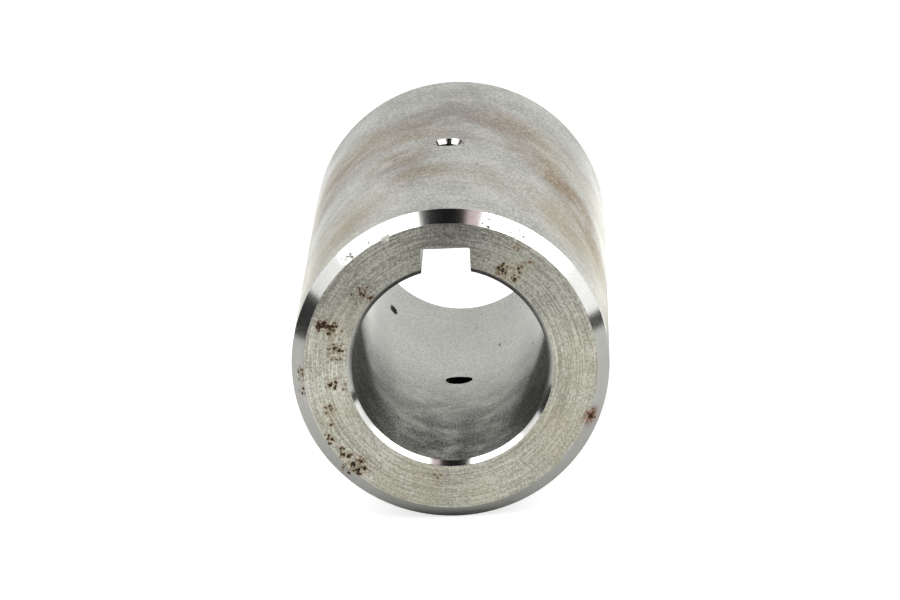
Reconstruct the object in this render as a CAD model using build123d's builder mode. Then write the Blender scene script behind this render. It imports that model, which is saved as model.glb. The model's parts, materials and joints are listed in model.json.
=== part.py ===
"""Rigid sleeve coupling: a one-piece keyed steel sleeve, cross-drilled at half length for two set screws.

All sizes are in millimetres. The bore runs along Y, with the origin at its centre, half way along the sleeve.
The keyway and the screw that bears on the key are on the +Z side, the screw that bears on the shaft on the -Z side.
"""

import os

from build123d import *

# Sleeve, turned from 1 5/8 in bar and bored for a 1 in shaft.
sleeve_length = 79.4
bore_diameter = 25.4
wall_thickness = 7.8
outer_chamfer = 1.6
bore_chamfer = 0.65

# Keyway for a 1/4 in square key, broached from end to end.
keyway_width = 6.35
keyway_depth = 2.9  # from the bore's wall to the keyway's roof, on the centre line
keyway_corner_radius = 0.25

# Cross hole, drilled with the tap drill for a No. 8-32 thread through both walls, from a centre-drilled cone.
screw_hole_diameter = 3.5
thread_pitch = 0.79375
countersink_width = 0.45  # radial
countersink_angle = 60

# Cup-point set screws. Screw and hole are both drawn plain, at the size of the thread's crest in the hole.
screw_clearance = 0.05  # radial
screw_end_chamfer = 0.35
socket_across_flats = 1.98
cup_rim = 0.2
cup_depth = 0.5
socket_floor = 1.3  # left between the socket and the cup

# The key screw is backed off the key, and the shaft screw off the shaft, by whole turns of the thread.
key_top_clearance = 0.13  # from the top of a key in its place to the keyway's roof
key_screw_turns_off = 1
key_screw_recess = 1.06  # from the outside to the socket end
shaft_screw_turns_off = 2
shaft_screw_recess = 1.45

# What follows from these.
bore_radius = bore_diameter / 2
sleeve_radius = bore_radius + wall_thickness
end_face_y = sleeve_length / 2
keyway_roof_z = bore_radius + keyway_depth
screw_radius = screw_hole_diameter / 2 - screw_clearance
cup_radius = screw_radius - screw_end_chamfer - cup_rim
key_screw_point_z = keyway_roof_z - key_top_clearance + key_screw_turns_off * thread_pitch
shaft_screw_point_z = bore_radius + shaft_screw_turns_off * thread_pitch


def is_bore_rim(edge):
    """True for the two circles where the bore meets the end faces."""
    return edge.geom_type == GeomType.CIRCLE and abs(edge.radius - bore_radius) < 0.001


def is_outer_rim(edge):
    """True for the two circles where the outside meets the end faces."""
    return edge.geom_type == GeomType.CIRCLE and abs(edge.radius - sleeve_radius) < 0.001


with BuildPart() as sleeve:
    with BuildSketch(Plane.XZ.offset(-end_face_y)):
        Circle(sleeve_radius)
        Circle(bore_radius, mode=Mode.SUBTRACT)
    extrude(amount=sleeve_length)
    chamfer(sleeve.edges().filter_by(is_outer_rim), outer_chamfer)
    chamfer(sleeve.edges().filter_by(is_bore_rim), bore_chamfer)

    # The keyway's profile starts at the bore's centre line, so that it opens into the bore along its length.
    with BuildSketch(Plane.XZ.offset(-end_face_y)) as keyway_profile:
        Rectangle(keyway_width, keyway_roof_z, align=(Align.CENTER, Align.MIN))
        fillet(keyway_profile.vertices().group_by(Axis.Z)[-1], keyway_corner_radius)
    extrude(amount=sleeve_length, mode=Mode.SUBTRACT)

    # One drilling and one countersink from each side.
    for outward in (1, -1):
        with Locations(Plane((0, 0, outward * sleeve_radius), z_dir=(0, 0, outward))):
            CounterSinkHole(
                radius=screw_hole_diameter / 2,
                counter_sink_radius=screw_hole_diameter / 2 + countersink_width,
                depth=sleeve_radius,
                counter_sink_angle=countersink_angle,
            )


def make_set_screw(point_plane, length):
    """A cup-point set screw standing on point_plane, with its hex socket at the far end."""
    with BuildPart(point_plane) as set_screw:
        Cylinder(screw_radius, length, align=(Align.CENTER, Align.CENTER, Align.MIN))
        chamfer(set_screw.edges().filter_by(GeomType.CIRCLE), screw_end_chamfer)
        Cone(cup_radius, 0, cup_depth, align=(Align.CENTER, Align.CENTER, Align.MIN), mode=Mode.SUBTRACT)
        with BuildSketch(point_plane.offset(length)):
            RegularPolygon(socket_across_flats / 2, 6, major_radius=False)
        extrude(amount=cup_depth + socket_floor - length, mode=Mode.SUBTRACT)
    return set_screw


key_set_screw = make_set_screw(
    Plane((0, 0, key_screw_point_z), z_dir=(0, 0, 1)),
    sleeve_radius - key_screw_recess - key_screw_point_z,
)
shaft_set_screw = make_set_screw(
    Plane((0, 0, -shaft_screw_point_z), z_dir=(0, 0, -1)),
    sleeve_radius - shaft_screw_recess - shaft_screw_point_z,
)

sleeve.part.label = "sleeve"
key_set_screw.part.label = "key_set_screw"
shaft_set_screw.part.label = "shaft_set_screw"

os.makedirs("parts", exist_ok=True)
export_step(sleeve.part, "parts/sleeve.step")
export_step(key_set_screw.part, "parts/key_set_screw.step")
export_step(shaft_set_screw.part, "parts/shaft_set_screw.step")
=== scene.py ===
"""Rigid sleeve coupling, bored and keywayed for a 1 in shaft, with two set screws in its cross hole.

The sleeve lies along Y with its keyway and the key's set screw towards +Z. Sizes are in metres.
"""

import json
import math

import bpy
from mathutils import Matrix, Vector


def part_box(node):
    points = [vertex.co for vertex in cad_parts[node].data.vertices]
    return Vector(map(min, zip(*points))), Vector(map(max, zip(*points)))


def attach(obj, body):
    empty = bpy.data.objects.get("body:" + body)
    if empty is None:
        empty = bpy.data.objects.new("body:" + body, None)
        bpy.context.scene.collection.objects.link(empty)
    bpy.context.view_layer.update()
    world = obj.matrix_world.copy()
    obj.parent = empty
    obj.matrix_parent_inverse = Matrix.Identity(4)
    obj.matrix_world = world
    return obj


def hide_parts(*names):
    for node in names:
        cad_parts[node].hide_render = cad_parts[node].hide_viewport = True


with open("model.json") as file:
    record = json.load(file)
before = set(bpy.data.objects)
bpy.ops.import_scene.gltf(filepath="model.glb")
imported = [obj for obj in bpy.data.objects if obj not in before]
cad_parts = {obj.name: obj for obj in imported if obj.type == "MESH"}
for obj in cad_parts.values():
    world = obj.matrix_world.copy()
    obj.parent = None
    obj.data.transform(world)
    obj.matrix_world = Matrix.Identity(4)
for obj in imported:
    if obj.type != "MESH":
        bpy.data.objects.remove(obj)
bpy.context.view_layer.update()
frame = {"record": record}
MM = 0.001


# Sleeve
# One piece of carbon steel bar, turned and faced in a lathe, bored right through and chamfered at both ends.
# The keyway is broached from end to end. The cross hole is centre-drilled, drilled and tapped through both
# walls.

sleeve_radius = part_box("sleeve")[1].z
sleeve_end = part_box("sleeve")[1].y
bore_radius = frame["record"]["mounts"][0]["dims"]["r_mm"] * MM
outer_chamfer = 1.6 * MM
bore_chamfer = 0.65 * MM
edge_radius = 0.03 * MM
keyway_width = 6.35 * MM
keyway_roof = 15.6 * MM
keyway_corner_radius = 0.25 * MM
hole_ring = 4 * MM
merge_distance = 0.001 * MM
crease_angle = math.radians(25)

# No. 8-32 thread: the tap drill leaves the crests of the hole's thread at 3.5 mm.
thread_pitch = 0.79375 * MM
thread_outer_radius = 2.085 * MM
thread_crest = 0.1 * MM
thread_flank = math.tan(math.radians(30))
drill_radius = 1.75 * MM
mouth_radius = 2.2 * MM
mouth_slope = math.tan(math.radians(30))
cone_tip_radius = 1 * MM
tap_overrun = 1 * MM

# A knock on the front edge, left of the keyway.
nick_angle = math.radians(-23.5)
nick_size = 1.3 * MM
nick_inset = 0.2 * MM
nick_tilt = math.radians(62)
nick_twist = math.radians(15)
nick_narrowing = 0.6


def draw_line(name, points):
    """A wire drawn from point to point by extruding one vertex."""
    bpy.ops.object.select_all(action="DESELECT")
    bpy.ops.mesh.primitive_plane_add(size=MM)
    line = bpy.context.object
    line.name = name
    line.data.name = name
    bpy.ops.object.mode_set(mode="EDIT")
    bpy.ops.mesh.select_mode(type="VERT")
    bpy.ops.mesh.select_all(action="SELECT")
    bpy.ops.mesh.merge(type="CENTER")
    bpy.ops.transform.translate(value=points[0])
    for start, end in zip(points, points[1:]):
        bpy.ops.mesh.extrude_region_move(TRANSFORM_OT_translate={"value": Vector(end) - Vector(start)})
    bpy.ops.object.mode_set(mode="OBJECT")
    return line


def select_only(piece):
    """Makes a piece the active object and the only one selected."""
    bpy.ops.object.select_all(action="DESELECT")
    bpy.context.view_layer.objects.active = piece
    piece.select_set(True)


def edit(piece):
    """Opens a piece in edit mode with all of it selected."""
    select_only(piece)
    bpy.ops.object.mode_set(mode="EDIT")
    bpy.ops.mesh.select_mode(type="VERT")
    bpy.ops.mesh.select_all(action="SELECT")


def merge_and_face_out():
    """Merges the doubles of the mesh being edited, turns its faces outwards and leaves edit mode."""
    bpy.ops.mesh.select_all(action="SELECT")
    bpy.ops.mesh.remove_doubles(threshold=merge_distance)
    bpy.ops.mesh.normals_make_consistent(inside=False)
    bpy.ops.object.mode_set(mode="OBJECT")


def bevel_edges(piece, is_chosen, radius, segments):
    """Rounds the edges for whose two end points is_chosen is true."""
    edit(piece)
    bpy.ops.mesh.select_mode(type="EDGE")
    bpy.ops.mesh.select_all(action="DESELECT")
    bpy.ops.object.mode_set(mode="OBJECT")
    vertices = piece.data.vertices
    for edge in piece.data.edges:
        start, end = (vertices[i].co for i in edge.vertices)
        edge.select = is_chosen(start, end)
    bpy.ops.object.mode_set(mode="EDIT")
    bpy.ops.mesh.bevel(offset=radius, segments=segments, affect="EDGES")
    bpy.ops.object.mode_set(mode="OBJECT")


def apply_modifier(piece, kind, **settings):
    """Adds a modifier to a piece and applies it."""
    select_only(piece)
    modifier = piece.modifiers.new(kind.lower(), kind)
    for name, value in settings.items():
        setattr(modifier, name, value)
    bpy.ops.object.modifier_apply(modifier=modifier.name)


def machine(piece, tool, operation="DIFFERENCE"):
    """Cuts a piece with a closed tool shape, which is used up."""
    apply_modifier(piece, "BOOLEAN", object=tool, operation=operation, solver="EXACT")
    bpy.data.objects.remove(tool)


def spin_about(piece, axis, steps):
    """Turns a drawn outline into a solid of revolution about an axis through the origin."""
    edit(piece)
    bpy.ops.mesh.spin(steps=steps, angle=math.tau, center=(0, 0, 0), axis=axis)
    merge_and_face_out()


def add_solid(add, **settings):
    """Adds a primitive by its operator and fixes its place and size in its mesh."""
    bpy.ops.object.select_all(action="DESELECT")
    add(**settings)
    bpy.ops.object.transform_apply()
    return bpy.context.object


def make_thread(name, root_radius, crest_radius, low, high):
    """A right-hand threaded rod along Z from low to high, in step with every other thread that this makes."""
    middle = thread_pitch / 2
    half_crest = thread_crest / 2
    half_root = half_crest + (crest_radius - root_radius) * thread_flank
    first_turn = math.floor(low / thread_pitch) - 2
    last_turn = math.ceil(high / thread_pitch) + 1
    start = first_turn * thread_pitch
    tooth = [
        (root_radius, 0, start),
        (root_radius, 0, start + middle - half_root),
        (crest_radius, 0, start + middle - half_crest),
        (crest_radius, 0, start + middle + half_crest),
        (root_radius, 0, start + middle + half_root),
        (root_radius, 0, start + thread_pitch),
    ]
    rod = draw_line(name, tooth)
    apply_modifier(
        rod, "SCREW", axis="Z", angle=math.tau, screw_offset=thread_pitch,
        iterations=last_turn - first_turn, steps=64, render_steps=64, use_merge_vertices=False,
    )
    edit(rod)
    bpy.ops.mesh.remove_doubles(threshold=merge_distance)
    for height, outwards in ((low, -1), (high, 1)):
        bpy.ops.mesh.select_all(action="SELECT")
        bpy.ops.mesh.bisect(
            plane_co=(0, 0, height), plane_no=(0, 0, outwards), use_fill=True, clear_outer=True,
            threshold=0.00001 * MM,
        )
    merge_and_face_out()
    return rod


sleeve_outline = [
    (-sleeve_end, bore_radius + bore_chamfer),
    (-sleeve_end + bore_chamfer, bore_radius),
    (-hole_ring, bore_radius),
    (hole_ring, bore_radius),
    (sleeve_end - bore_chamfer, bore_radius),
    (sleeve_end, bore_radius + bore_chamfer),
    (sleeve_end, sleeve_radius - outer_chamfer),
    (sleeve_end - outer_chamfer, sleeve_radius),
    (hole_ring, sleeve_radius),
    (-hole_ring, sleeve_radius),
    (-sleeve_end + outer_chamfer, sleeve_radius),
    (-sleeve_end, sleeve_radius - outer_chamfer),
    (-sleeve_end, bore_radius + bore_chamfer),
]
sleeve = draw_line("turned_sleeve", [(0, y, z) for y, z in sleeve_outline])
spin_about(sleeve, (0, 1, 0), 360)


def is_chamfer_ring(start, end):
    """True for the edges of the rings where a chamfer meets an end face, the bore or the outside."""
    is_ring = abs(start.y - end.y) < merge_distance
    is_between_chamfers = abs(start.y) < sleeve_end - outer_chamfer - merge_distance
    return is_ring and not is_between_chamfers


bevel_edges(sleeve, is_chamfer_ring, edge_radius, 3)

broach = add_solid(
    bpy.ops.mesh.primitive_cube_add,
    size=1, location=(0, 0, keyway_roof / 2), scale=(keyway_width, 3 * sleeve_end, keyway_roof),
)
bevel_edges(broach, lambda start, end: min(start.z, end.z) > 0.9 * keyway_roof, keyway_corner_radius, 4)
machine(sleeve, broach)

# The knock is from the corner of something square: its floor leans in from the face, its corner outwards.
knock = add_solid(bpy.ops.mesh.primitive_cube_add, size=nick_size, location=(0, 0, nick_size / 2))
knock.matrix_world = (
    Matrix.Rotation(nick_angle, 4, "Y")
    @ Matrix.Translation((0, -sleeve_end + nick_inset, sleeve_radius - outer_chamfer))
    @ Matrix.Rotation(nick_tilt, 4, "X")
    @ Matrix.Rotation(nick_twist, 4, "Z")
    @ Matrix.Diagonal((nick_narrowing, 1, 1, 1))
    @ Matrix.Rotation(math.radians(45), 4, "Z")
)
bpy.ops.object.transform_apply()
machine(sleeve, knock)

for side in (1, -1):
    tap_span = sorted((side * (bore_radius - tap_overrun), side * (sleeve_radius + tap_overrun)))
    machine(sleeve, make_thread("tap", drill_radius, thread_outer_radius, *tap_span))
    cone_depth = 2 * (mouth_radius - cone_tip_radius) / mouth_slope
    centre_drill = add_solid(
        bpy.ops.mesh.primitive_cone_add,
        vertices=96,
        radius1=mouth_radius - cone_depth / 2 * mouth_slope,
        radius2=mouth_radius + cone_depth / 2 * mouth_slope,
        depth=cone_depth,
        location=(0, 0, side * sleeve_radius),
        rotation=(0 if side > 0 else math.pi, 0, 0),
    )
    machine(sleeve, centre_drill)

select_only(sleeve)
bpy.ops.object.shade_smooth_by_angle(angle=crease_angle)
apply_modifier(sleeve, "WEIGHTED_NORMAL", keep_sharp=True, weight=100)


def linear(hex_color):
    """An sRGB hex colour as the linear colour that a shader takes."""
    channels = [int(hex_color[i:i + 2], 16) / 255 for i in (1, 3, 5)]
    return tuple(c / 12.92 if c <= 0.04045 else ((c + 0.055) / 1.055) ** 2.4 for c in channels) + (1,)


def add_node(tree, kind, *inputs, output=None, **settings):
    """Adds a shader node with its settings, links or fills its inputs in order, and gives its output.

    An input is a value or another node's output, and None leaves it as it is. Unused sockets don't count.
    """
    node = tree.nodes.new("ShaderNode" + kind)
    for name, value in settings.items():
        setattr(node, name, value)
    sockets = [socket for socket in node.inputs if socket.enabled]
    for socket, value in zip(sockets, inputs):
        if isinstance(value, bpy.types.NodeSocket):
            tree.links.new(value, socket)
        elif value is not None:
            socket.default_value = value
    if output:
        return node.outputs[output]
    return next((socket for socket in node.outputs if socket.enabled), None)


def patches(tree, position, places):
    """The strongest of some soft round patches, each with its place and reach in mm and its strength."""
    total = 0.0
    for place, reach, strength in places:
        away = add_node(tree, "VectorMath", position, place, operation="DISTANCE")
        patch = add_node(
            tree, "MapRange", away, reach, 0.15 * reach, 0.0, strength, interpolation_type="SMOOTHSTEP"
        )
        total = add_node(tree, "Math", total, patch, operation="MAXIMUM")
    return total


def on_outside(y, degrees):
    """A place on the turned outside in mm, by its angle clockwise from the top, seen from the front."""
    angle = math.radians(degrees)
    radius = sleeve_radius / MM
    return (radius * math.sin(angle), y, radius * math.cos(angle))


def in_bore(y, degrees):
    """A place on the bore's wall in mm, by its angle clockwise from the top, seen from the front."""
    angle = math.radians(degrees)
    radius = bore_radius / MM
    return (radius * math.sin(angle), y, radius * math.cos(angle))


def on_end(x, z, side=-1):
    """A place on an end face in millimetres: the front one, or with side=1 the rear one."""
    return (x, side * sleeve_end / MM, z)


# Machined carbon steel: bare bright metal with fine tool marks round its axis, so highlights draw out across
# them. It is near neutral, with a thin film of oil and old water stains, and rust where drops stood on it.
steel = "#C4C4BF"
steel_dark = "#A3A39E"
violet_stain = "#8C817C"
brown_stain = "#8D7A5F"
oil_film = "#BFB792"
# The next grey is partly grime and partly painted shade, laid low in the front of the bore.
dirt_and_shade_grey = "#3C3B3C"
rust_edge = "#9A7B4E"
rust = "#4B301B"
rust_heart = "#24170D"
rust_speck = 0.62
rust_spread = 0.33
red_rust = "#7A2A16"
pit_dirt = "#1E1A17"


def machined_steel(
    name, marks_across, mark_width, bright=steel, dull=steel_dark, rough=0.3, anisotropic=0.5,
    mark_depth=0.004, lean=0.0, mark_contrast=0.35, grain_contrast=0.55, grain_size=0.2, cloud_contrast=0.4,
    stretch=1.0, graze=1.0, rust_places=(), stain_places=(), stain_size=0.4, pit_places=(), speck=0.0,
):
    """Machined steel whose tool marks follow each other across "radius", "x" or "y".

    Sizes are in millimetres. lean tilts the marks' flanks outwards, stretch draws specks out along Y, and
    graze is how much of the shine at a grazing angle the marks leave.
    """
    material = bpy.data.materials.new(name)
    material.use_nodes = True
    tree = material.node_tree
    shader = tree.nodes["Principled BSDF"]
    coordinates = add_node(tree, "TexCoord", output="Object")
    position = add_node(tree, "VectorMath", coordinates, 1 / MM, operation="SCALE")
    ringed = position
    if marks_across == "radius":
        flat = add_node(tree, "VectorMath", position, (1, 0, 1), operation="MULTIPLY")
        radius = add_node(tree, "VectorMath", flat, operation="LENGTH")
        x = add_node(tree, "SeparateXYZ", position, output="X")
        z = add_node(tree, "SeparateXYZ", position, output="Z")
        ringed = add_node(tree, "CombineXYZ", x, radius, z)
    along = 9
    cell = (mark_width, along, mark_width) if marks_across == "x" else (along, mark_width, along)
    placed = add_node(tree, "Mapping", ringed, None, None, [1 / size for size in cell])
    marks = add_node(tree, "TexNoise", placed, 1.0, 3.0, 0.7)
    placed = add_node(tree, "Mapping", position, None, None, (1 / 6, 1 / 8, 1 / 6))
    cloud = add_node(tree, "TexNoise", placed, 1.0, 4.0, 0.55)
    placed = add_node(tree, "Mapping", position, None, None, (1, 1 / stretch, 1))
    grain = add_node(tree, "TexNoise", placed, 1 / grain_size, 2.0, 0.5)

    # Marks, clouds and grain each swing about 0.5, so their sum swings about zero and picks dull or bright.
    tone = -0.5 * (mark_contrast + cloud_contrast + grain_contrast)
    dullness = rough * (1 + 0.5 * cloud_contrast - 0.25)
    for pattern, contrast, gloss in (
        (marks, mark_contrast, 0.0), (cloud, cloud_contrast, -cloud_contrast), (grain, grain_contrast, 0.5),
    ):
        tone = add_node(tree, "Math", pattern, contrast, tone, operation="MULTIPLY_ADD")
        if gloss:
            dullness = add_node(tree, "Math", pattern, gloss * rough, dullness, operation="MULTIPLY_ADD")
    amount = add_node(tree, "MapRange", tone, -0.25, 0.25, interpolation_type="SMOOTHSTEP")
    color = add_node(tree, "Mix", amount, linear(dull), linear(bright), data_type="RGBA")
    roughness = dullness
    metallic = None
    height = marks

    for places, stain_color in stain_places:
        placed = add_node(tree, "Mapping", position, (1.7, 4.2, 0.3), None, (1, 2 / (1 + stretch), 1))
        worn = add_node(tree, "TexNoise", placed, 1 / stain_size, 5.0, 0.75)
        worn = add_node(tree, "MapRange", worn, 0.36, 0.66, 0.25, 1.0, interpolation_type="SMOOTHSTEP")
        haze = add_node(tree, "TexNoise", position, 0.25, 4.0, 0.6)
        haze = add_node(tree, "MapRange", haze, 0.3, 0.6, 0.4, 1.0, interpolation_type="SMOOTHSTEP")
        stain = add_node(tree, "Math", patches(tree, position, places), haze, operation="MULTIPLY")
        stain = add_node(tree, "Math", stain, worn, operation="MULTIPLY", use_clamp=True)
        color = add_node(tree, "Mix", stain, color, linear(stain_color), data_type="RGBA")
        roughness = add_node(tree, "Math", stain, 0.1, roughness, operation="MULTIPLY_ADD")
    if rust_places:
        cells = add_node(tree, "TexVoronoi", position, 1 / rust_speck)
        placed = add_node(tree, "Mapping", position, (0.4, 9.2, 2.8), None, (1 / 0.3, 1 / 0.3, 1 / 0.3))
        ragged_edge = add_node(tree, "TexNoise", placed, 1.0, 3.0, 0.62)
        spread = add_node(tree, "Math", cells, -0.38, 0.3, operation="MULTIPLY_ADD")
        spread = add_node(tree, "Math", ragged_edge, 0.78, spread, operation="MULTIPLY_ADD")
        rusted = patches(tree, position, rust_places)
        spread = add_node(tree, "Math", rusted, rust_spread, spread, operation="MULTIPLY_ADD")
        halo = add_node(tree, "MapRange", spread, 0.66, 0.88, 0.0, 0.7, interpolation_type="SMOOTHSTEP")
        body = add_node(tree, "MapRange", spread, 0.84, 0.88, interpolation_type="SMOOTHSTEP")
        heart = add_node(tree, "MapRange", spread, 0.87, 0.93, interpolation_type="SMOOTHSTEP")
        color = add_node(tree, "Mix", halo, color, linear(rust_edge), data_type="RGBA")
        color = add_node(tree, "Mix", body, color, linear(rust), data_type="RGBA")
        color = add_node(tree, "Mix", heart, color, linear(rust_heart), data_type="RGBA")
        metallic = add_node(tree, "MapRange", body, 0.0, 1.0, 1.0, 0.05)
        flaky = add_node(tree, "Math", body, 0.8, operation="MULTIPLY")
        roughness = add_node(tree, "Math", roughness, flaky, operation="MAXIMUM")
        height = add_node(tree, "Math", body, -2.5, height, operation="MULTIPLY_ADD")
    if pit_places:
        placed = add_node(tree, "Mapping", position, None, None, (2.5, 2.5 / stretch, 2.5))
        ragged = add_node(tree, "TexNoise", placed, 1.0, 3.0, 0.5)
        pitted = patches(tree, position, pit_places)
        pit = add_node(tree, "Math", ragged, 0.6, pitted, operation="MULTIPLY_ADD")
        pit = add_node(tree, "MapRange", pit, 0.75, 0.95, interpolation_type="SMOOTHSTEP")
        color = add_node(tree, "Mix", pit, color, linear(pit_dirt), data_type="RGBA")
        dirty = add_node(tree, "Math", pit, 0.8, operation="MULTIPLY")
        roughness = add_node(tree, "Math", roughness, dirty, operation="MAXIMUM")
        clean = add_node(tree, "MapRange", pit, 0.0, 1.0, 1.0, 0.2)
        metallic = add_node(tree, "Math", metallic, clean, operation="MULTIPLY") if metallic else clean
    if speck:
        placed = add_node(tree, "Mapping", position, (7.7, 1.2, 3.6), None, (2.8, 2.8 / stretch, 2.8))
        dots = add_node(tree, "TexNoise", placed, 1.0, 1.0, 0.5)
        placed = add_node(tree, "Mapping", position, (2.2, 6.1, 0.9), None, (0.2, 0.2 / stretch, 0.2))
        crowd = add_node(tree, "TexNoise", placed, 1.0, 1.0, 0.5)
        dots = add_node(tree, "Math", crowd, 0.25, dots, operation="MULTIPLY_ADD")
        dot = add_node(tree, "MapRange", dots, 0.93 - speck, 0.97 - speck, interpolation_type="SMOOTHSTEP")
        color = add_node(tree, "Mix", dot, color, linear(pit_dirt), data_type="RGBA")
        clean = add_node(tree, "MapRange", dot, 0.0, 1.0, 1.0, 0.3)
        metallic = add_node(tree, "Math", metallic, clean, operation="MULTIPLY") if metallic else clean

    if lean:
        height = add_node(tree, "Math", radius, -lean / mark_depth, height, operation="MULTIPLY_ADD")
    bump = add_node(tree, "Bump", 1.0, mark_depth * MM, None, height)
    tree.links.new(color, shader.inputs["Base Color"])
    tree.links.new(roughness, shader.inputs["Roughness"])
    tree.links.new(bump, shader.inputs["Normal"])
    shader.inputs["Metallic"].default_value = 1.0
    if metallic:
        tree.links.new(metallic, shader.inputs["Metallic"])
    shader.inputs["Specular Tint"].default_value = (graze, graze, graze, 1)
    if anisotropic:
        shader.inputs["Anisotropic"].default_value = anisotropic
        shader.inputs["Anisotropic Rotation"].default_value = 0.25
        tangent = add_node(tree, "Tangent", direction_type="RADIAL", axis="Y")
        tree.links.new(tangent, shader.inputs["Tangent"])
    return material


# Water stains lie in a band round the hole and down the right side, where the sleeve was handled.
violet_stains = [
    (on_outside(16, -8), 10, 0.8),
    (on_outside(19, 4), 11, 0.85),
    (on_outside(15, 17), 10, 0.75),
    (on_outside(3.5, 4), 5, 0.7),
    (on_outside(-8.1, -18), 6, 0.7),
    (on_outside(7, -51), 12, 0.7),
]
brown_stains = [
    (on_outside(16, 27), 10, 0.75),
    (on_outside(8, -14), 9, 0.75),
    (on_outside(12, -28), 9, 0.8),
    (on_outside(4.2, 36), 9, 1.0),
    (on_outside(-1.3, 46), 9, 1.3),
    (on_outside(-0.7, 54), 9, 1.3),
    (on_outside(-10.9, 64), 11, 1.1),
    (on_outside(-21.3, 48), 10, 0.7),
    (on_outside(-15.7, -10), 7, 0.9),
    (on_outside(-4, -20), 8, 0.9),
    (on_outside(-27.8, -40), 9, 0.8),
    (on_outside(16.2, -44), 12, 0.9),
    (on_outside(-5, 130), 12, 0.7),
    (on_outside(12, -120), 12, 0.7),
    (on_outside(-18, 178), 9, 0.6),
]
outside_film = [
    (on_outside(-25, -62), 22, 0.5),
    (on_outside(10, -70), 20, 0.4),
    (on_outside(-22, 66), 20, 0.5),
    (on_outside(14, 60), 18, 0.3),
    (on_outside(-18, 20), 14, 0.25),
]
outside_pits = [
    (on_outside(-10.4, 11), 0.7, 0.55),
    (on_outside(-11.6, 11), 0.7, 0.55),
    (on_outside(-27.7, -13), 0.6, 0.5),
    (on_outside(-25.5, -17), 0.8, 0.45),
    (on_outside(-23.0, -5), 0.7, 0.5),
    (on_outside(-27.0, 8), 0.7, 0.45),
    (on_outside(-31.0, -22), 0.8, 0.5),
]
face_rust = [
    (on_end(-10.9, 10.3), 2.2, 0.9),
    (on_end(-11.8, 9.6), 1.6, 0.8),
    (on_end(-9.9, 9.2), 1.6, 1.0),
    (on_end(-16.2, 6.2), 2.0, 1.1),
    (on_end(-15.0, 5.4), 2.4, 1.0),
    (on_end(-14.7, 2.5), 2.4, 1.0),
    (on_end(-12.9, 1.8), 1.4, 0.8),
    (on_end(-15.2, -1.6), 2.2, 0.95),
    (on_end(-13.4, -2.2), 1.4, 0.8),
    (on_end(-17.8, 0.8), 1.2, 0.85),
    (on_end(-15.8, -5.2), 1.6, 1.1),
    (on_end(-15.6, -7.2), 1.0, 0.9),
    (on_end(-16.0, -9.2), 1.8, 0.95),
    (on_end(-14.1, -11.3), 2.4, 1.05),
    (on_end(-12.6, -12.8), 2.6, 1.2),
    (on_end(7.2, 12.5), 2.2, 1.15),
    (on_end(8.6, 11.4), 1.2, 1.0),
    (on_end(9.4, 12.4), 1.6, 0.9),
    (on_end(10.4, 13.2), 1.2, 0.95),
    (on_end(9.3, 15.2), 1.4, 0.85),
    (on_end(-2.3, -14.9), 1.6, 0.7),
    (on_end(5.0, 14.5, 1), 3.0, 0.9),
    (on_end(-13.5, 8.0, 1), 2.4, 1.0),
    (on_end(14.8, -7.5, 1), 2.6, 1.0),
]
face_film = [
    (on_end(15.5, 0), 9, 0.45),
    (on_end(13, -9), 8, 0.6),
    (on_end(-6, -16), 8, 0.55),
    (on_end(4, -17), 6, 0.4),
    (on_end(-13, 6), 6, 0.3),
    (on_end(-15, -6), 6, 0.3),
    (on_end(9, 13), 5, 0.35),
    (on_end(-14, -3, 1), 9, 0.5),
]
chamfer_rust = [
    (on_end(18.3, -7.7), 1.8, 1.5),
    (on_end(-19.2, -0.2), 2.0, 1.0),
    (on_end(-19.4, -2.6), 1.8, 1.0),
    (on_end(-14.0, -13.6), 2.4, 1.0),
]
chamfer_pits = [
    (on_end(-12.6, 15.2), 3.5, 0.54),
    (on_end(-10.2, 16.8), 3.0, 0.52),
    (on_end(6.0, 18.8), 3.5, 0.5),
    (on_end(9.5, 17.2), 3.5, 0.5),
    (on_end(13.0, 14.5), 3.0, 0.48),
]
bore_pits = [
    (in_bore(22.5, -132), 1.2, 0.85),
    (in_bore(23.5, -132), 1.4, 0.9),
    (in_bore(24.5, -132), 1.2, 0.85),
    (in_bore(13.0, 155), 0.6, 0.6),
    (in_bore(13.9, 155), 0.6, 0.6),
    (in_bore(-0.9, 127), 0.6, 0.7),
    (in_bore(-7.5, -123), 0.6, 0.7),
    (in_bore(-12, -169), 1.0, 0.5),
    (in_bore(-12.4, -174), 0.9, 0.5),
    (in_bore(-13.2, -179), 0.9, 0.5),
]
# Patches that darken the bore towards its front and bottom: partly grime in fine specks, partly painted
# shade.
bore_dirt_and_shade = [
    (in_bore(-44, 180), 56, 1.15),
    (in_bore(-44, 135), 40, 0.6),
    (in_bore(-44, -135), 40, 0.7),
]
red_spots = [(on_end(18.3, -7.7), 1.9, 2.5), (on_end(18.0, -8.4), 1.5, 2.0), (on_end(18.6, -7.0), 1.5, 2.0)]

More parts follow.
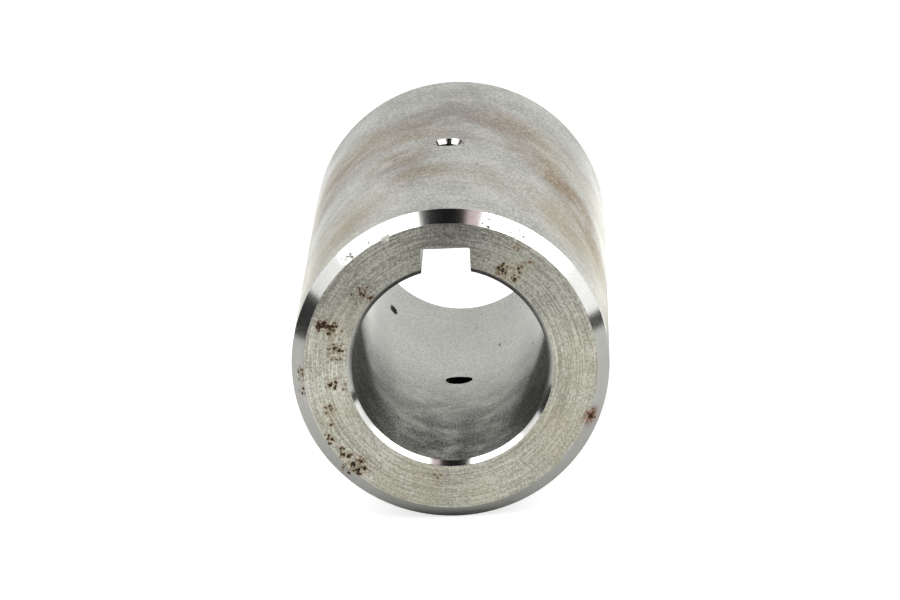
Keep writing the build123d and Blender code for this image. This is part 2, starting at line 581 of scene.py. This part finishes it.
surfaces = {
    "turned_outside": machined_steel(
        "turned_outside", "y", 0.35, bright="#CACAC5", dull="#A0A09B", rough=0.42, anisotropic=0.35,
        stretch=2.0, speck=0.04, mark_contrast=0.8, grain_size=0.36, grain_contrast=1.2, cloud_contrast=0.5,
        graze=0.34,
        stain_places=((outside_film, oil_film), (violet_stains, violet_stain), (brown_stains, brown_stain)),
        pit_places=outside_pits,
    ),
    "faced_end": machined_steel(
        "faced_end", "radius", 0.18, bright="#F0EFE5", dull="#A3A296", rough=0.33, anisotropic=0.8, lean=0.18,
        rust_places=face_rust, stain_places=((face_film, oil_film), (red_spots, red_rust)), speck=0.02,
        mark_contrast=1.0, grain_contrast=0.8, grain_size=0.26,
    ),
    "turned_chamfer": machined_steel(
        "turned_chamfer", "radius", 0.18, bright="#D2D2D0", dull="#BDBDBA", rough=0.17, anisotropic=0.7,
        rust_places=chamfer_rust, pit_places=chamfer_pits, grain_contrast=0.2, speck=0.03,
        stain_places=((red_spots, red_rust),),
    ),
    # The bore's grey patches are partly grime and partly painted shade, darker towards its front and bottom.
    "bored_wall": machined_steel(
        "bored_wall", "y", 0.2, rough=0.23, anisotropic=0.95, mark_depth=0.001, mark_contrast=0.1,
        stretch=2.5, pit_places=bore_pits, speck=0.06, grain_contrast=1.2, grain_size=0.3, cloud_contrast=0.1,
        graze=0.33,
        stain_places=((bore_dirt_and_shade, dirt_and_shade_grey),), stain_size=0.2,
    ),
    # The keyway's walls are a lighter steel than the rest: a painted highlight along them.
    "broached_keyway_painted_highlight": machined_steel(
        "broached_keyway_painted_highlight", "x", 0.25, bright="#E2E2DE", rough=0.5, anisotropic=0.0
    ),
    "drilled_cone": machined_steel(
        "drilled_cone", "y", 0.5, rough=0.12, anisotropic=0.0, mark_depth=0.001
    ),
    # The tapped thread's darker steel is partly dirt and partly painted shade deep in the cross hole.
    "tapped_thread_dirt_and_shade": machined_steel(
        "tapped_thread_dirt_and_shade", "y", 0.5, bright="#8F8C86", dull="#6B6760", rough=0.3, anisotropic=0.0,
        mark_depth=0.001,
    ),
}


def surface_of(polygon):
    """The machined surface that a face of the sleeve belongs to, by its place and normal."""
    centre = polygon.center
    normal = polygon.normal
    from_axis = math.hypot(centre.x, centre.z)
    from_hole = math.hypot(centre.x, centre.y)
    if from_hole < mouth_radius + 0.02 * MM and abs(normal.z) < 0.95:
        return "drilled_cone" if 0.4 < abs(normal.z) < 0.6 else "tapped_thread_dirt_and_shade"
    if abs(centre.x) < keyway_width / 2 + 0.01 * MM and centre.z > 0:
        if bore_radius + 0.02 * MM < from_axis < keyway_roof + 0.2 * MM and abs(normal.y) < 0.2:
            return "broached_keyway_painted_highlight"
    if abs(normal.y) > 0.8:
        return "faced_end"
    if abs(normal.y) > 0.1:
        return "turned_chamfer"
    return "bored_wall" if from_axis < bore_radius + 0.1 * MM else "turned_outside"


for material in surfaces.values():
    sleeve.data.materials.append(material)
for polygon in sleeve.data.polygons:
    polygon.material_index = list(surfaces).index(surface_of(polygon))

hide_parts("sleeve")
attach(sleeve, "sleeve")


# Set screws
# Two cup-point socket set screws of hardened alloy steel with a black oxide coat. One bears on the key
# through the keyway's roof and one on the shaft from below, and each runs in its own wall of the tapped
# cross hole.

screw_root_radius = 1.66 * MM
screw_crest_radius = 2.06 * MM
screw_end_chamfer = 0.42 * MM
socket_across_flats = 1.98 * MM
socket_floor = 1.3 * MM
cup_radius = 1.15 * MM
cup_depth = 0.5 * MM
drill_point_height = 0.55 * MM
drill_point_drop = 0.25 * MM
lead_in_rise = 0.12 * MM


def black_oxide_steel():
    """Alloy steel blacked in hot salts: a blue-black coat with a satin shine, worn to grey on its crests."""
    material = bpy.data.materials.new("black_oxide_steel")
    material.use_nodes = True
    tree = material.node_tree
    shader = tree.nodes["Principled BSDF"]
    coordinates = add_node(tree, "TexCoord", output="Object")
    position = add_node(tree, "VectorMath", coordinates, 1 / MM, operation="SCALE")
    flat = add_node(tree, "VectorMath", position, (1, 1, 0), operation="MULTIPLY")
    radius = add_node(tree, "VectorMath", flat, operation="LENGTH")
    worn = add_node(tree, "TexNoise", position, 2.5, 4.0, 0.5)
    grain = add_node(tree, "TexNoise", position, 8.0, 2.0, 0.5)
    crest = add_node(tree, "Math", worn, 0.12, radius, operation="MULTIPLY_ADD")
    crest = add_node(tree, "MapRange", crest, 2.07, 2.13, 0.0, 0.6, interpolation_type="SMOOTHSTEP")
    amount = add_node(tree, "MapRange", worn, 0.35, 0.7, interpolation_type="SMOOTHSTEP")
    coat = add_node(tree, "Mix", amount, linear("#26272B"), linear("#3A3A3D"), data_type="RGBA")
    color = add_node(tree, "Mix", crest, coat, linear("#77756F"), data_type="RGBA")
    roughness = add_node(tree, "MapRange", grain, 0.2, 0.8, 0.28, 0.44, interpolation_type="SMOOTHSTEP")
    tree.links.new(color, shader.inputs["Base Color"])
    tree.links.new(roughness, shader.inputs["Roughness"])
    tree.links.new(add_node(tree, "Bump", 1.0, 0.003 * MM, None, grain), shader.inputs["Normal"])
    shader.inputs["Metallic"].default_value = 1.0
    return material


black_oxide = black_oxide_steel()


def make_set_screw(name, node, outwards):
    """A set screw over its CAD node's span, its socket towards outwards (1 up, -1 down), its cup inwards."""
    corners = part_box(node)
    low = corners[0].z
    high = corners[1].z
    socket_end = high if outwards > 0 else low
    cup_end = low if outwards > 0 else high
    screw = make_thread(name, screw_root_radius, screw_crest_radius, low, high)

    clear = 0.5 * MM
    end_radius = screw_crest_radius - screw_end_chamfer
    blank_outline = [
        (0, 0, low),
        (0, end_radius, low),
        (0, screw_crest_radius + clear, low + screw_end_chamfer + clear),
        (0, screw_crest_radius + clear, high - screw_end_chamfer - clear),
        (0, end_radius, high),
        (0, 0, high),
    ]
    blank = draw_line("blank", blank_outline)
    spin_about(blank, (0, 0, 1), 96)
    machine(screw, blank, "INTERSECT")

    socket_depth = (high - low) - cup_depth - socket_floor
    socket_radius = socket_across_flats / math.sqrt(3)
    socket = add_solid(
        bpy.ops.mesh.primitive_cylinder_add,
        vertices=6, radius=socket_radius, depth=2 * socket_depth, location=(0, 0, socket_end),
    )
    machine(screw, socket)
    drill_point = add_solid(
        bpy.ops.mesh.primitive_cone_add,
        vertices=48, radius1=0, radius2=0.98 * socket_across_flats / 2, depth=drill_point_height,
        location=(0, 0, socket_end - outwards * (socket_depth + drill_point_drop)),
        rotation=(0 if outwards > 0 else math.pi, 0, 0),
    )
    machine(screw, drill_point)
    lead_in = add_solid(
        bpy.ops.mesh.primitive_cone_add,
        vertices=48, radius1=0.7 * socket_radius, radius2=1.4 * socket_radius, depth=0.7 * socket_radius,
        location=(0, 0, socket_end + outwards * lead_in_rise),
        rotation=(0 if outwards > 0 else math.pi, 0, 0),
    )
    machine(screw, lead_in)
    cup = add_solid(
        bpy.ops.mesh.primitive_cone_add,
        vertices=48, radius1=2 * cup_radius, radius2=0, depth=2 * cup_depth,
        location=(0, 0, cup_end),
        rotation=(0 if outwards > 0 else math.pi, 0, 0),
    )
    machine(screw, cup)

    select_only(screw)
    bpy.ops.object.shade_smooth_by_angle(angle=crease_angle)
    screw.data.materials.clear()
    screw.data.materials.append(black_oxide)
    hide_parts(node)
    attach(screw, node)
    return screw


make_set_screw("key_set_screw_threaded", "key_set_screw", 1)
make_set_screw("shaft_set_screw_threaded", "shaft_set_screw", -1)


# Floor
# A plain white table top that the sleeve lies on, lit from below behind the sleeve, which brightens the bore.
# It shows white to the camera with a faint shadow. From below it isn't there, so the underside can be seen.

floor_width = 1.6
floor_length = 3.0
floor_glow = 4.1
floor_paint = (0.48, 0.48, 0.465, 1)
seen_floor_paint = (0.4, 0.4, 0.4, 1)
seen_floor_glow = 0.78
bpy.ops.object.select_all(action="DESELECT")
bpy.ops.mesh.primitive_plane_add(size=1, location=(0, 0, -sleeve_radius))
floor = bpy.context.object
floor.name = "floor"
floor.scale = (floor_width, floor_length, 1)
bpy.ops.object.transform_apply()
table_top = bpy.data.materials.new("table_top")
table_top.use_nodes = True
tree = table_top.node_tree
tree.nodes.clear()
to_camera = add_node(tree, "LightPath", output="Is Camera Ray")
y = add_node(tree, "SeparateXYZ", add_node(tree, "TexCoord", output="Object"), output="Y")
backlit = add_node(tree, "MapRange", y, 0.04, 0.1, 0.0, floor_glow, interpolation_type="SMOOTHSTEP")
paint = add_node(tree, "BsdfDiffuse", floor_paint)
glow = add_node(tree, "Emission", (1, 1, 1, 1), backlit)
table = add_node(tree, "AddShader", paint, glow)
plain = add_node(tree, "BsdfDiffuse", seen_floor_paint)
white = add_node(tree, "Emission", (1, 1, 1, 1), seen_floor_glow)
seen = add_node(tree, "MixShader", to_camera, table, add_node(tree, "AddShader", plain, white))
underneath = add_node(tree, "NewGeometry", output="Backfacing")
surface = add_node(tree, "MixShader", underneath, seen, add_node(tree, "BsdfTransparent"))
add_node(tree, "OutputMaterial", surface)
floor.data.materials.append(table_top)


# Studio
# Two long softboxes above, left and right, each with a dimmer reflector below it, and a pinkish card in the
# dark gap overhead. Behind is a pale wall with a bright screen at its middle, and the room in front is dim.

softbox_distance = 0.6
softbox_length = 0.53
softbox_middle = -0.205
card_length = 1.0
card_color = (1.0, 0.80, 0.82)
dim_room = 0.04
pale_wall = 1.05
bright_screen = 2.85
dark_ceiling = 0.05


def add_softbox(name, roll_from, roll_to, length, radiance, color=(1, 1, 1), y=0.0):
    """A light along Y that covers a range of angles about Y, clockwise from overhead."""
    middle = math.radians((roll_from + roll_to) / 2)
    half = math.radians((roll_to - roll_from) / 2)
    data = bpy.data.lights.new(name, "AREA")
    data.shape = "RECTANGLE"
    data.size = 2 * softbox_distance * math.tan(half)
    data.size_y = length
    data.color = color
    data.energy = radiance * math.pi * data.size * data.size_y
    softbox = bpy.data.objects.new(name, data)
    bpy.context.scene.collection.objects.link(softbox)
    softbox.matrix_world = Matrix.Rotation(middle, 4, "Y") @ Matrix.Translation((0, y, softbox_distance))
    softbox.visible_camera = False


add_softbox("left_softbox", -53, -14, softbox_length, 5.2, y=softbox_middle)
add_softbox("left_reflector", -73, -53, softbox_length, 1.3, y=softbox_middle)
add_softbox("right_softbox", 17, 62, softbox_length, 5.2, y=softbox_middle)
add_softbox("right_reflector", 62, 85, softbox_length, 1.5, y=softbox_middle)
add_softbox("card", 9, 16, card_length, 0.9, card_color)

world = bpy.data.worlds.new("studio")
bpy.context.scene.world = world
world.use_nodes = True
tree = world.node_tree
tree.nodes.clear()
direction = add_node(tree, "TexCoord", output="Generated")
y = add_node(tree, "SeparateXYZ", direction, output="Y")
z = add_node(tree, "SeparateXYZ", direction, output="Z")
behind = add_node(tree, "MapRange", y, 0.15, 0.8, dim_room, pale_wall, interpolation_type="SMOOTHSTEP")
screen = add_node(tree, "MapRange", y, 0.86, 0.93, 1.0, bright_screen, interpolation_type="SMOOTHSTEP")
overhead = add_node(tree, "MapRange", z, 0.35, 0.9, 1.0, dark_ceiling, interpolation_type="SMOOTHSTEP")
room = add_node(tree, "Math", behind, screen, operation="MULTIPLY")
room = add_node(tree, "Math", room, overhead, operation="MULTIPLY")
to_camera = add_node(tree, "LightPath", output="Is Camera Ray")
strength = add_node(tree, "Mix", to_camera, room, 1.0, data_type="FLOAT")
add_node(tree, "OutputWorld", add_node(tree, "Background", (1, 1, 1, 1), strength))


# Camera
# A long lens a little above the end of the sleeve, nearly in line with its bore.

camera_distance = 778.4 * MM
camera_aim = Vector((-0.76, 0, -1.43)) * MM
camera_azimuth = math.radians(1.044)
camera_elevation = math.radians(14.458)
camera_roll = math.radians(2.6)
camera_sensor = 36
camera_lens = 230.1

camera_data = bpy.data.cameras.new("camera")
camera_data.sensor_width = camera_sensor
camera_data.lens = camera_lens
camera = bpy.data.objects.new("camera", camera_data)
bpy.context.scene.collection.objects.link(camera)
camera.matrix_world = (
    Matrix.Rotation(camera_roll, 4, "Y")
    @ Matrix.Translation(camera_aim)
    @ Matrix.Rotation(camera_azimuth, 4, "Z")
    @ Matrix.Rotation(math.pi / 2 - camera_elevation, 4, "X")
    @ Matrix.Translation((0, 0, camera_distance))
)
bpy.context.scene.camera = camera
bpy.context.scene.view_settings.view_transform = "Standard"
